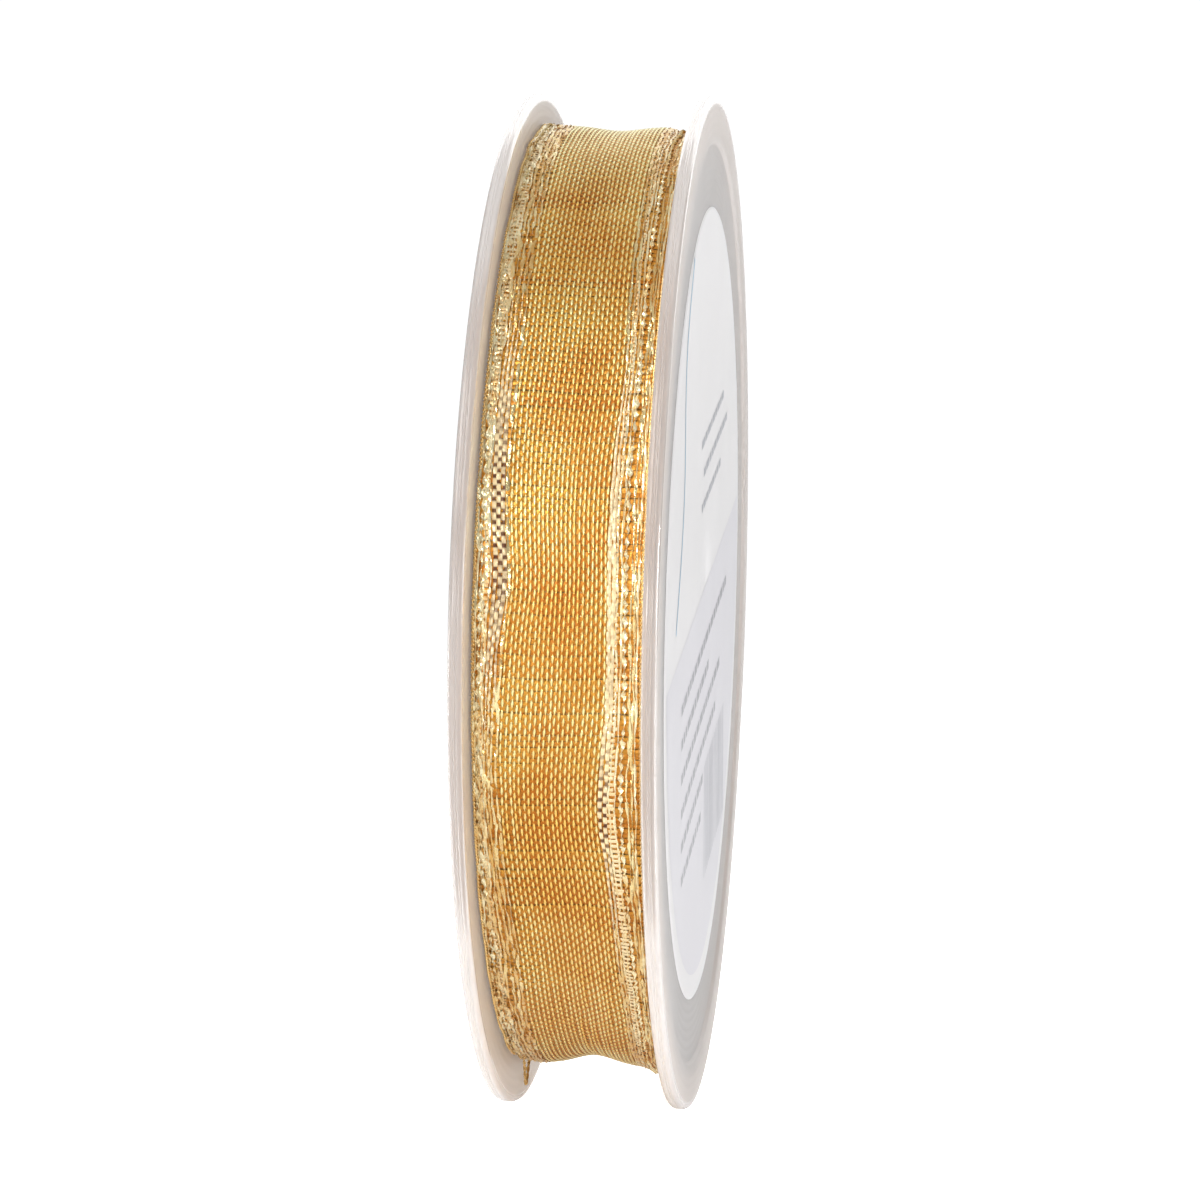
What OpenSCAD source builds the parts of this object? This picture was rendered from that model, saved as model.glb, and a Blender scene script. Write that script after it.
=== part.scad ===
// Ribbon spool: a translucent moulded reel that holds a wire-edged organza ribbon.
// The spin axis is X, the origin is on that axis at mid-width, and +Z is up.

/* [Reel] */
// Outside diameter of both flanges
flange_d = 100; // [96:1:110]
// Width over the two rim beads
overall_w = 18.4; // [18.4:0.1:26]
// Thickness of a flange at its rim bead
rim_t = 1.4; // [1.3:0.1:1.6]
// Thickness of a flange inside the bead
web_t = 1.0; // [0.8:0.1:1.2]
// Radial width of the raised rim bead
rim_band_w = 4.4; // [3:0.1:5]
// Radius that rounds the bead's edges
rim_round = 0.45; // [0.3:0.05:0.6]

/* [Core] */
// Diameter of the drum that the ribbon is wound on
core_d = 50; // [44:1:56]
// Diameter of the bore that takes a dispenser rod
bore_d = 12; // [10:0.5:13]
// Wall of the drum and of the axle tube
core_wall = 1.4; // [1:0.1:2]
// Number of radial ribs in the core
rib_count = 6; // [6:3:12]

/* [Snap pegs] */
// Pegs on each flange
peg_count = 3; // [2:1:3]
// Diameter of a peg
peg_d = 3; // [2.5:0.5:3.5]
// Length of a peg inside the core
peg_len = 4.6; // [3:0.1:5]
// Diameter of the circle that the pegs stand on
peg_pcd = 32; // [28:1:36]

/* [Ribbon] */
// Width of the ribbon over both wire edges
ribbon_w = 15; // [12:0.5:15]
// Width of each metallic selvedge band
selvedge_w = 3; // [1.5:0.1:3]
// Diameter of the roll over the outermost full turn
roll_d = 92.3; // [88:0.1:93]
// Thickness of the outermost turn with its puckers
wrap_t = 0.5; // [0.3:0.05:0.6]
// Thickness of the free tail
tail_t = 0.3; // [0.2:0.05:0.4]
// Angle of roll that the free tail covers
tail_span = 30; // [20:1:40]

/* [Label and tapes] */
// Diameter of the face label
label_d = 78.6; // [60:0.2:80]
// Thickness of the face label
label_t = 0.12; // [0.1:0.02:0.2]
// Thickness of the adhesive tapes
tape_t = 0.1; // [0.05:0.01:0.1]

/* [Hidden] */

$fn = 160;

plastic_tint = [0.83, 0.79, 0.76, 0.55];
organza_gold = [0.88, 0.62, 0.25];
lurex_gold = [0.90, 0.80, 0.56];
wire_gold = [0.80, 0.62, 0.28];

flange_r = flange_d / 2;
core_r = core_d / 2;
bore_r = bore_d / 2;
roll_r = roll_d / 2;
gap_w = overall_w - 2 * rim_t;         // clear width between the flanges
web_x = gap_w / 2 + web_t;             // outer face of a flange's web
spigot_r = bore_r + core_wall;         // outside of the axle tube
drum_in = core_r - core_wall;          // inside of the drum's wall
core_web_t = 1.2;                      // thickness of the core's web
rib_t = 1;                             // thickness of a rib
rib_setback = 0.5;                     // gap between a rib and each flange
fit = 0.05;                            // radial clearance of pegs and spigot
layer_gap = 0.05;                      // keeps neighbouring wound pieces apart

wire_w = 0.3;                          // width of a turn of edge wire
organza_w = ribbon_w - 2 * selvedge_w; // organza between the two selvedges
wire_x = ribbon_w / 2 - wire_w;        // where each edge wire starts
pack_in = core_r + tape_t + layer_gap; // the pack starts over the core tape
pack_out = roll_r - wrap_t - layer_gap;
wrap_in = roll_r - wrap_t;
tail_in = roll_r + layer_gap;
tail_out = tail_in + tail_t;

// Angles run round the spin axis: 0 is the bottom, 90 the back and 180 the top.
tail_root = 160;                       // where the tail leaves the roll
core_tape_span = 40;
tail_tape_w = 11;
tail_tape_over = 7;                    // angle of tape on the tail
tail_tape_past = 6;                    // angle of tape past the tail's cut end

// Turns a shape revolved about Z so that it is revolved about the spin axis.
module on_spin_axis() {
    rotate([0, 90, 0]) children();
}

// A ring round the spin axis between two radii, from x0 to x1, over an angle.
module ring(r_in, r_out, x0, x1, from = 0, span = 360) {
    on_spin_axis() rotate([0, 0, from]) rotate_extrude(angle = span)
        translate([r_in, x0]) square([r_out - r_in, x1 - x0]);
}

// Points of a round corner of radius r about c, from angle a0 to a1.
function corner(c, r, a0, a1, steps = 6) =
    [for (i = [0:steps]) c + r * [cos(a0 + (a1 - a0) * i / steps), sin(a0 + (a1 - a0) * i / steps)]];

// Half section of a flange: flat inner face, thin web, and a rounded raised bead at the rim.
function flange_section() = concat(
    [[spigot_r + fit, 0]],
    corner([flange_r - rim_round, rim_round], rim_round, -90, 0),
    corner([flange_r - rim_round, rim_t - rim_round], rim_round, 0, 90),
    [[flange_r - rim_band_w, rim_t], [flange_r - rim_band_w - (rim_t - web_t), web_t], [spigot_r + fit, web_t]]);

// A flange with its inner face at height 0 and its pegs pointing down from it.
module flange() {
    rotate_extrude() polygon(flange_section());
    for (i = [0:peg_count - 1]) rotate([0, 0, 360 / peg_count * i])
        translate([peg_pcd / 2, 0, -peg_len]) cylinder(r = peg_d / 2, h = peg_len + web_t / 2);
}

module left_flange() {
    color(plastic_tint) on_spin_axis() mirror([0, 0, 1]) translate([0, 0, gap_w / 2]) flange();
}

module right_flange() {
    color(plastic_tint) on_spin_axis() translate([0, 0, gap_w / 2]) flange();
}

// A boss with a blind peg socket in each end.
module peg_boss() {
    boss_r = peg_d / 2 + core_wall;
    socket_depth = peg_len + 0.4;
    difference() {
        cylinder(r = boss_r, h = gap_w, center = true);
        for (side = [-1, 1]) translate([0, 0, side * (gap_w - socket_depth) / 2])
            cylinder(r = peg_d / 2 + fit, h = socket_depth + 0.001, center = true);
    }
}

// Half section of the core: the axle tube, the web at mid-width and the drum.
function core_section() = [
    [bore_r, -web_x], [spigot_r, -web_x],
    [spigot_r, -core_web_t / 2], [drum_in, -core_web_t / 2], [drum_in, -gap_w / 2],
    [core_r, -gap_w / 2], [core_r, gap_w / 2],
    [drum_in, gap_w / 2], [drum_in, core_web_t / 2], [spigot_r, core_web_t / 2],
    [spigot_r, web_x], [bore_r, web_x]];

// One rib between the axle tube and the drum, let a little way into each and just short of both flanges.
module rib() {
    let_in = core_wall / 3;
    rib_h = gap_w - 2 * rib_setback;
    translate([spigot_r - let_in, -rib_t / 2, -rib_h / 2])
        cube([drum_in - spigot_r + 2 * let_in, rib_t, rib_h]);
}

module hub_core() {
    color("whitesmoke") on_spin_axis() union() {
        rotate_extrude() polygon(core_section());
        for (i = [0:rib_count - 1]) rotate([0, 0, 360 / rib_count * (i + 0.5)]) rib();
        for (i = [0:peg_count - 1]) rotate([0, 0, 360 / peg_count * i])
            translate([peg_pcd / 2, 0, 0]) peg_boss();
    }
}

module face_label() {
    color("white") on_spin_axis() translate([0, 0, web_x]) cylinder(r = label_d / 2, h = label_t);
}

module core_tape() {
    color([0.93, 0.90, 0.80]) ring(core_r, core_r + tape_t, -tail_tape_w / 2, tail_tape_w / 2, 0, core_tape_span);
}

// Organza between the selvedges; side selvedges and edge wires mirror about mid-width.
module organza(r_in, r_out, from = 0, span = 360) {
    color(organza_gold) ring(r_in, r_out, -organza_w / 2, organza_w / 2, from, span);
}

module selvedge(side, r_in, r_out, from = 0, span = 360) {
    near = organza_w / 2;
    color(lurex_gold) ring(r_in, r_out, side > 0 ? near : -wire_x, side > 0 ? wire_x : -near, from, span);
}

module edge_wire(side, r_in, r_out, from = 0, span = 360) {
    far = ribbon_w / 2;
    color(wire_gold) ring(r_in, r_out, side > 0 ? wire_x : -far, side > 0 ? far : -wire_x, from, span);
}

module tail_tape() {
    tape_in = tail_out + layer_gap;
    color([0.95, 0.93, 0.86, 0.6])
        ring(tape_in, tape_in + tape_t, -tail_tape_w / 2, tail_tape_w / 2,
             tail_root - tail_span - tail_tape_past, tail_tape_over + tail_tape_past);
}

tail_from = tail_root - tail_span;

left_flange();
right_flange();
hub_core();
face_label();
core_tape();
organza(pack_in, pack_out);  // organza_pack
selvedge(-1, pack_in, pack_out);  // left_selvedge_pack
selvedge(1, pack_in, pack_out);  // right_selvedge_pack
edge_wire(-1, pack_in, pack_out);  // left_edge_wire_pack
edge_wire(1, pack_in, pack_out);  // right_edge_wire_pack
organza(wrap_in, roll_r);  // organza_wrap
selvedge(-1, wrap_in, roll_r);  // left_selvedge_wrap
selvedge(1, wrap_in, roll_r);  // right_selvedge_wrap
edge_wire(-1, wrap_in, roll_r);  // left_edge_wire_wrap
edge_wire(1, wrap_in, roll_r);  // right_edge_wire_wrap
organza(tail_in, tail_out, tail_from, tail_span);  // tail_organza
selvedge(-1, tail_in, tail_out, tail_from, tail_span);  // tail_left_selvedge
selvedge(1, tail_in, tail_out, tail_from, tail_span);  // tail_right_selvedge
edge_wire(-1, tail_in, tail_out, tail_from, tail_span);  // tail_left_edge_wire
edge_wire(1, tail_in, tail_out, tail_from, tail_span);  // tail_right_edge_wire
tail_tape();
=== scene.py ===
"""Looks of a ribbon spool: a translucent moulded reel wound with wire-edged gold organza.

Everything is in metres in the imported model's frame: +X runs along the reel's spin axis towards the
labelled flange, +Z is up and -Y faces the viewer. Lengths in the classes below are in millimetres,
as a reel maker states them, and MM turns them into metres.

An angle round the reel is counted from the bottom, over the back and the top, to the front, so a point
at angle a and radius r lies at (x, r sin a, -r cos a).
"""

import logging
import math
from dataclasses import dataclass, field, replace
from enum import Enum

import bpy
import numpy as np
from mathutils import Matrix, Vector


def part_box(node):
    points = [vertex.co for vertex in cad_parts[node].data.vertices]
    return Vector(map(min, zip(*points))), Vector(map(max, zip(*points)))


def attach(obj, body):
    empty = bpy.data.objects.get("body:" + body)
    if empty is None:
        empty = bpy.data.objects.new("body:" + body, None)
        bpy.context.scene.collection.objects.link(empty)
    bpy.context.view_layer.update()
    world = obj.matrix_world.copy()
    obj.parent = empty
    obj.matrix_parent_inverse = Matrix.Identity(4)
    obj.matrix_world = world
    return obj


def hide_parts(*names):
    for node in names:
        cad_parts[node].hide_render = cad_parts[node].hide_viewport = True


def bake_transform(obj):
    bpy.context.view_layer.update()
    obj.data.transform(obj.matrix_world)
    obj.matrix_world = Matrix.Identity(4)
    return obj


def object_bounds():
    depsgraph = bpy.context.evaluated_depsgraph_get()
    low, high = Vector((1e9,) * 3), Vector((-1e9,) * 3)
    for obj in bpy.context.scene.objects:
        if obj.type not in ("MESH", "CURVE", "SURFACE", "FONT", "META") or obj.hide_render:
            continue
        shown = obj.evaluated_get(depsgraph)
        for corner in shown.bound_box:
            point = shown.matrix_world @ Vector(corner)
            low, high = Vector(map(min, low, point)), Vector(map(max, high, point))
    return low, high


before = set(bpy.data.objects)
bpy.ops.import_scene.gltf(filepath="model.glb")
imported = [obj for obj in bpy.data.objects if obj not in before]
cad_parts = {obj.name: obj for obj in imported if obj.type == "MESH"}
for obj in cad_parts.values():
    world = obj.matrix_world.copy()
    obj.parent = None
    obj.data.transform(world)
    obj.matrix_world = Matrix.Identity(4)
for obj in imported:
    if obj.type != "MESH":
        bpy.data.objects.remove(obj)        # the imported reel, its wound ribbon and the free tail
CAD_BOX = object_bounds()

Material = bpy.types.Material
Node = bpy.types.Node
Object = bpy.types.Object
Socket = bpy.types.NodeSocket
Tree = bpy.types.NodeTree
Colour = tuple[float, float, float]
Value = float | tuple[float, ...] | Socket

log = logging.getLogger("ribbon_spool")
MM = 0.001
TURN = 2 * math.pi


class Slot(Enum):
    """The spool's material slots."""

    REEL = "reel_plastic"
    CORE = "core_plastic"
    LABEL = "label_paper"
    ORGANZA = "organza"
    SELVEDGE = "metallic_selvedge"
    WIRE = "edge_wire"
    TAPE = "adhesive_tape"


class Side(Enum):
    """Which end of the spin axis a part is on; the value is the sign of X there."""

    LEFT = -1
    RIGHT = 1


class Ink(Enum):
    """The label's inks; the value is the material's number on the print."""

    TINT = 0
    GREY = 1
    LIGHT_GREY = 2
    BLUE = 3


class Thread(Enum):
    """A selvedge's threads; the value is the material's number on its piece."""

    PALE = 0
    GOLD = 1
    CREAM = 2
    BEAD = 3


# ---------------------------------------------------------------- meshes from arrays


@dataclass
class Shell:
    """Points and quads of one closed or open surface.

    Attributes:
        points: Vertex positions in millimetres, one row each.
        quads: Four vertex numbers for each face.
        uv: Optional pair of pattern coordinates for each vertex.
        slots: Optional material number for each face.
    """

    points: np.ndarray
    quads: np.ndarray
    uv: np.ndarray | None = None
    slots: np.ndarray | None = None


def joined(shells: list[Shell]) -> Shell:
    """Puts several shells into one, keeping their faces apart.

    Args:
        shells: The shells, either all with pattern coordinates or all without.

    Returns:
        One shell that holds them all.
    """
    starts = np.cumsum([0] + [len(s.points) for s in shells[:-1]])
    slots = [np.zeros(len(s.quads), int) if s.slots is None else s.slots for s in shells]
    return Shell(
        np.concatenate([s.points for s in shells]),
        np.concatenate([s.quads + start for s, start in zip(shells, starts)]),
        None if shells[0].uv is None else np.concatenate([s.uv for s in shells]),
        np.concatenate(slots),
    )


def grid_quads(rows: int, columns: int, round_rows: bool = False,
               round_columns: bool = False) -> np.ndarray:
    """Quads that join a grid of points, numbered row by row.

    Args:
        rows: Points along the first direction.
        columns: Points along the second direction.
        round_rows: Whether the last row joins the first.
        round_columns: Whether the last column joins the first.

    Returns:
        An array of quads, turning from the first direction to the second.
    """
    i = np.arange(rows if round_rows else rows - 1)[:, None]
    j = np.arange(columns if round_columns else columns - 1)[None, :]
    i_next, j_next = (i + 1) % rows, (j + 1) % columns
    corners = (i * columns + j, i_next * columns + j, i_next * columns + j_next, i * columns + j_next)
    return np.stack([np.broadcast_to(c, (i.size, j.size)).ravel() for c in corners], axis=1)


def polar(angle: np.ndarray, radius: np.ndarray, x: np.ndarray) -> np.ndarray:
    """Points round the spin axis: (x, r sin a, -r cos a).

    Args:
        angle: Angles in radians from the bottom over the back.
        radius: Distances from the spin axis.
        x: Places along the spin axis.

    Returns:
        An array of points with one more dimension than the inputs.
    """
    angle, radius, x = np.broadcast_arrays(angle, radius, x)
    return np.stack([x, radius * np.sin(angle), -radius * np.cos(angle)], axis=-1)


def lathe(profile: np.ndarray, steps: int) -> Shell:
    """Turns a closed profile of (radius, x) points into a ring round the spin axis.

    Args:
        profile: The outline's points, counter-clockwise with radius to the right and x up.
        steps: Points round the axis.

    Returns:
        The closed ring, with its faces wound inwards.
    """
    angles = np.arange(steps) * TURN / steps
    points = polar(angles[:, None], profile[None, :, 0], profile[None, :, 1])
    return Shell(points.reshape(-1, 3), grid_quads(steps, len(profile), True, True)[:, ::-1])


def strands(centres: np.ndarray, across: np.ndarray, out: np.ndarray, half_width: float,
            half_height: float, twist: np.ndarray | float = 0.0,
            tone: np.ndarray | float = 0.5) -> Shell:
    """Sweeps a four-sided section along many centrelines and closes both ends.

    The section's point k stands at across * w cos t + out * h sin t, turned by the twist, with
    t = pi k / 2.

    Args:
        centres: Centreline points, as (strand, step, xyz).
        across: Unit vectors across each strand in the cloth's plane; across x out runs along it.
        out: Unit vectors out of the cloth.
        half_width: Half the section's width in the plane.
        half_height: Half its height.
        twist: Turn of the section about its strand, for each strand and step, in radians.
        tone: How pale each strand is at each step, from 0 to 1, kept as its first pattern coordinate.

    Returns:
        The closed strands.
    """
    count, steps = centres.shape[:2]
    sides = 4
    turn = np.broadcast_to(np.asarray(twist, float), (count, steps))[..., None]
    ring = TURN * np.arange(sides) / sides
    flat, tall = half_width * np.cos(ring), half_height * np.sin(ring)
    side = flat * np.cos(turn) - tall * np.sin(turn)
    rise = flat * np.sin(turn) + tall * np.cos(turn)
    points = centres[:, :, None, :] + side[..., None] * across[:, :, None, :]
    points = points + rise[..., None] * out[:, :, None, :]
    wall = grid_quads(steps, sides, False, True)[:, ::-1]
    start = np.arange(sides)[None]
    caps = np.concatenate([start, (start + (steps - 1) * sides)[:, ::-1]])
    one = np.concatenate([wall, caps])
    quads = one[None] + (np.arange(count) * steps * sides)[:, None, None]
    pale = np.broadcast_to(np.clip(tone, 0.0, 1.0), (count, steps)).repeat(sides)
    uv = np.stack([pale, np.zeros_like(pale)], axis=1)
    return Shell(points.reshape(-1, 3), quads.reshape(-1, 4), uv)


def random_wave(rng: np.random.Generator, count: int, every: int) -> np.ndarray:
    """Smooth random numbers of unit spread: seeded values every few steps, joined by straight runs."""
    knots = rng.standard_normal(count // every + 2)
    return np.interp(np.arange(count), np.arange(len(knots)) * every, knots)


def piece(name: str, shell: Shell, materials: list[Material], smooth: bool = True) -> Object:
    """Makes an object from a shell, at the origin and in metres.

    Args:
        name: The piece's name.
        shell: Its surface, in millimetres.
        materials: Its materials, in the order of the shell's slots.
        smooth: Whether its faces are shaded smoothly.

    Returns:
        The new object.
    """
    mesh = bpy.data.meshes.new(name)
    mesh.vertices.add(len(shell.points))
    mesh.vertices.foreach_set("co", (shell.points * MM).astype(np.float32).ravel())
    corners = shell.quads.astype(np.int32).ravel()
    mesh.loops.add(len(corners))
    mesh.loops.foreach_set("vertex_index", corners)
    mesh.polygons.add(len(shell.quads))
    mesh.polygons.foreach_set("loop_start", np.arange(0, len(corners), 4, dtype=np.int32))
    mesh.polygons.foreach_set("use_smooth", np.full(len(shell.quads), smooth))
    if shell.slots is not None:
        mesh.polygons.foreach_set("material_index", shell.slots.astype(np.int32))
    if shell.uv is not None:
        layer = mesh.uv_layers.new(name="UVMap")
        layer.data.foreach_set("uv", shell.uv.astype(np.float32)[corners].ravel())
    mesh.update(calc_edges=True)
    mesh.validate()
    for material in materials:
        mesh.materials.append(material)
    made = bpy.data.objects.new(name, mesh)
    bpy.context.scene.collection.objects.link(made)
    log.info("%s: %d faces", name, len(shell.quads))
    return made


# ---------------------------------------------------------------- shader graphs and finishes


@dataclass
class Graph:
    """Adds nodes to one shader tree and joins them up.

    Attributes:
        tree: The shader tree.
    """

    tree: Tree

    def link(self, output: Socket, node: Node, socket: str) -> None:
        """Joins an output to a node's named input."""
        self.tree.links.new(output, node.inputs[socket])

    def add(self, kind: str, inputs: dict[str | int, Value] | None = None, **settings: object) -> Node:
        """Adds a node.

        Args:
            kind: The node's type name, without its "ShaderNode" start.
            inputs: Socket name or number to a value or to another node's output.
            settings: The node's own settings.

        Returns:
            The node.
        """
        node = self.tree.nodes.new("ShaderNode" + kind)
        for key, value in settings.items():
            setattr(node, key, value)
        for key, value in (inputs or {}).items():
            if isinstance(value, Socket):
                self.tree.links.new(value, node.inputs[key])
            else:
                node.inputs[key].default_value = value
        return node

    def math(self, operation: str, first: Value, second: Value = 0.0, clamp: bool = False) -> Socket:
        """The output of one Math node on numbers or sockets."""
        return self.add("Math", {0: first, 1: second}, operation=operation, use_clamp=clamp).outputs[0]

    def mix(self, share: Value, first: Value, second: Value) -> Socket:
        """The colour between first and second, by a share from 0 to 1."""
        node = self.add("Mix", {0: share, 6: first, 7: second}, data_type="RGBA")
        return node.outputs[2]

    def spread(self, value: Value, low: float, high: float, to_low: float = 0.0,
               to_high: float = 1.0) -> Socket:
        """A value carried from one range to another and held inside it."""
        names = {"Value": value, "From Min": low, "From Max": high, "To Min": to_low,
                 "To Max": to_high}
        return self.add("MapRange", names, clamp=True).outputs[0]

    def noise(self, vector: Socket, scale: float, detail: float) -> Socket:
        """Smooth noise from 0 to 1 at a scale in cycles for each unit of the vector."""
        return self.add("TexNoise", {"Vector": vector, "Scale": scale, "Detail": detail}).outputs[0]


def group(name: str, inputs: tuple[str, ...], outputs: tuple[str, ...]) -> tuple[Graph, Node, Node]:
    """Starts a node group with named number sockets.

    Args:
        name: The group's name.
        inputs: Names of what goes in.
        outputs: Names of what comes out.

    Returns:
        The graph, its input node and its output node.
    """
    tree = bpy.data.node_groups.new(name, "ShaderNodeTree")
    for direction, sockets in (("INPUT", inputs), ("OUTPUT", outputs)):
        for socket in sockets:
            tree.interface.new_socket(name=socket, in_out=direction, socket_type="NodeSocketFloat")
    return Graph(tree), tree.nodes.new("NodeGroupInput"), tree.nodes.new("NodeGroupOutput")


def plain_weave_group() -> Tree:
    """Builds the plain weave: warps and wefts that pass over each other in turn.

    With a and b the place across and along in threads, a warp rises as cos(pi (a's thread + b - 1/2))
    and a weft as the opposite wave across, so each crossing has one of them on top, chequerwise. Each
    thread is round: its height falls off from its middle, and past its width there is a gap.

    Returns:
        The group, with the height, which threads are on top, and the cover, all from 0 to 1.
    """
    graph, entry, leave = group(
        "PlainWeave",
        ("Across", "Along", "Warp Pitch", "Weft Pitch", "Fill"),
        ("Height", "Warp On Top", "Cover"),
    )
    a = graph.math("DIVIDE", entry.outputs["Across"], entry.outputs["Warp Pitch"])
    b = graph.math("DIVIDE", entry.outputs["Along"], entry.outputs["Weft Pitch"])
    heights, covers = [], []
    for own, other, shift in ((a, b, 0.5), (b, a, 1.5)):
        thread = graph.math("FLOOR", own)
        within = graph.math("SUBTRACT", own, thread)
        middle = graph.math("ABSOLUTE", graph.math("SUBTRACT", within, 0.5))
        aside = graph.math("DIVIDE", middle, graph.math("MULTIPLY", entry.outputs["Fill"], 0.5))
        square = graph.math("MULTIPLY", aside, aside)
        dome = graph.math("SQRT", graph.math("SUBTRACT", 1.0, square, clamp=True))
        phase = graph.math("SUBTRACT", graph.math("ADD", thread, other), shift)
        wave = graph.math("COSINE", graph.math("MULTIPLY", phase, math.pi))
        covers.append(graph.math("LESS_THAN", aside, 1.0))
        rise = graph.math("ADD", graph.math("MULTIPLY", wave, 0.25), graph.math("MULTIPLY", dome, 0.45))
        heights.append(graph.math("MULTIPLY", graph.math("ADD", rise, 0.3), covers[-1]))
    graph.link(graph.math("MAXIMUM", *heights), leave, "Height")
    graph.link(graph.math("GREATER_THAN", *heights), leave, "Warp On Top")
    graph.link(graph.math("MAXIMUM", *covers), leave, "Cover")
    return graph.tree


def grain_group() -> Tree:
    """Builds the shared grain: soft patches and fine specks in the object's own space.

    Returns:
        The group, with Patch and Speck from 0 to 1, and their sum as a Height.
    """
    graph, entry, leave = group(
        "Grain",
        ("Patch Scale", "Speck Scale", "Speck Share"),
        ("Patch", "Speck", "Height"),
    )
    place = graph.add("TexCoord").outputs["Object"]
    patch = graph.noise(place, 1.0, 3.0)
    speck = graph.noise(place, 1.0, 1.0)
    graph.link(entry.outputs["Patch Scale"], patch.node, "Scale")
    graph.link(entry.outputs["Speck Scale"], speck.node, "Scale")
    graph.link(graph.spread(patch, 0.36, 0.64), leave, "Patch")
    graph.link(graph.spread(speck, 0.3, 0.7), leave, "Speck")
    share = graph.math("MULTIPLY", speck, entry.outputs["Speck Share"])
    graph.link(graph.math("ADD", patch, share), leave, "Height")
    return graph.tree


def solid(colour: Colour) -> tuple[float, float, float, float]:
    """The colour with full cover."""
    return (*colour, 1.0)


@dataclass(frozen=True)
class Finish:
    """A material's plain values, which each kind of finish adds its pattern to.

    Attributes:
        name: The material's name.
        colour: Its main colour.
        second: The colour of its patches or specks.
        roughness: Its roughness.
        metallic: How metallic it is.
    """

    name: str
    colour: Colour
    second: Colour
    roughness: float
    metallic: float = 0.0

    def start(self) -> tuple[Material, Graph, Node]:
        """Makes the material with this finish's plain values on its shader.

        Returns:
            The material, its graph and its Principled shader.
        """
        material = bpy.data.materials.new(self.name)
        material.use_nodes = True
        graph = Graph(material.node_tree)
        shader = material.node_tree.nodes["Principled BSDF"]
        shader.inputs["Base Color"].default_value = solid(self.colour)
        shader.inputs["Roughness"].default_value = self.roughness
        shader.inputs["Metallic"].default_value = self.metallic
        return material, graph, shader

    def grain(self, graph: Graph, patch: float, speck: float, share: float) -> Node:
        """Places the shared grain.

        Args:
            graph: The material's graph.
            patch: Scale of its soft patches, in cycles for each metre.
            speck: Scale of its fine specks, in cycles for each metre.
            share: How much the specks add to its height.

        Returns:
            The grain's node.
        """
        values = {"Patch Scale": patch, "Speck Scale": speck, "Speck Share": share}
        return graph.add("Group", values, node_tree=SHARED["grain"])

    def bump(self, graph: Graph, shader: Node, height: Socket, depth: float,
             strength: float = 1.0) -> None:
        """Joins a height to the shader's normal, with its depth in metres."""
        node = graph.add("Bump", {"Height": height, "Distance": depth, "Strength": strength})
        graph.link(node.outputs[0], shader, "Normal")


@dataclass(frozen=True)
class ReelPlastic(Finish):
    """Milky moulded plastic: light scatters in it, fine turned rings mark it and its rim is polished.

    Attributes:
        clear: How much light passes straight through.
        scatter: How much light scatters inside.
        depth: How far scattered light travels, in millimetres.
        polished: Distance from the spin axis past which it is polished, in millimetres.
        gloss: Roughness where it is polished.
        ring_pitch: Distance between turned rings, in millimetres.
    """

    clear: float = 0.45
    scatter: float = 0.9
    depth: float = 16.0
    polished: float = 49.2
    gloss: float = 0.18
    ring_pitch: float = 0.9

    def make(self) -> Material:
        """Builds the material, whose rings follow sin(2 pi r / pitch) of the distance r from the axis.

        Returns:
            The material.
        """
        material, graph, shader = self.start()
        shader.inputs["Transmission Weight"].default_value = self.clear
        shader.inputs["IOR"].default_value = 1.5
        shader.inputs["Subsurface Weight"].default_value = self.scatter
        shader.inputs["Subsurface Radius"].default_value = (1.0, 0.92, 0.85)
        shader.inputs["Subsurface Scale"].default_value = self.depth * MM
        grain = self.grain(graph, 60.0, 2500.0, 0.3)
        split = graph.add("SeparateXYZ", {0: graph.add("TexCoord").outputs["Object"]})
        y, z = split.outputs["Y"], split.outputs["Z"]
        squares = [graph.math("MULTIPLY", value, value) for value in (y, z)]
        radius = graph.math("SQRT", graph.math("ADD", *squares))
        rings = graph.math("SINE", graph.math("MULTIPLY", radius, TURN / (self.ring_pitch * MM)))
        rings = graph.math("MULTIPLY", rings, 0.35)
        height = graph.math("ADD", rings, graph.math("MULTIPLY", grain.outputs["Height"], 0.1))
        colour = graph.mix(grain.outputs["Patch"], solid(self.colour), solid(self.second))
        graph.link(colour, shader, "Base Color")
        edge = self.polished * MM
        rough = graph.spread(radius, edge, edge + 0.3 * MM, self.roughness, self.gloss)
        graph.link(rough, shader, "Roughness")
        self.bump(graph, shader, height, 0.02 * MM)
        return material


@dataclass(frozen=True)
class Paper(Finish):
    """Coated paper or printed ink: faint fibres and a soft gloss."""

    def make(self) -> Material:
        """Builds the material, with fibres drawn out along one direction.

        Returns:
            The material.
        """
        material, graph, shader = self.start()
        grain = self.grain(graph, 90.0, 1800.0, 0.5)
        place = graph.add("TexCoord").outputs["Object"]
        stretched = graph.add("Mapping", {"Vector": place, "Scale": (1.0, 0.25, 1.0)})
        fibres = graph.noise(stretched.outputs[0], 2600.0, 3.0)
        shade = graph.math("MULTIPLY", graph.math("ADD", grain.outputs["Patch"], fibres), 0.5)
        colour = graph.mix(shade, solid(self.colour), solid(self.second))
        graph.link(colour, shader, "Base Color")
        self.bump(graph, shader, fibres, 0.02 * MM, 0.5)
        return material


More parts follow.
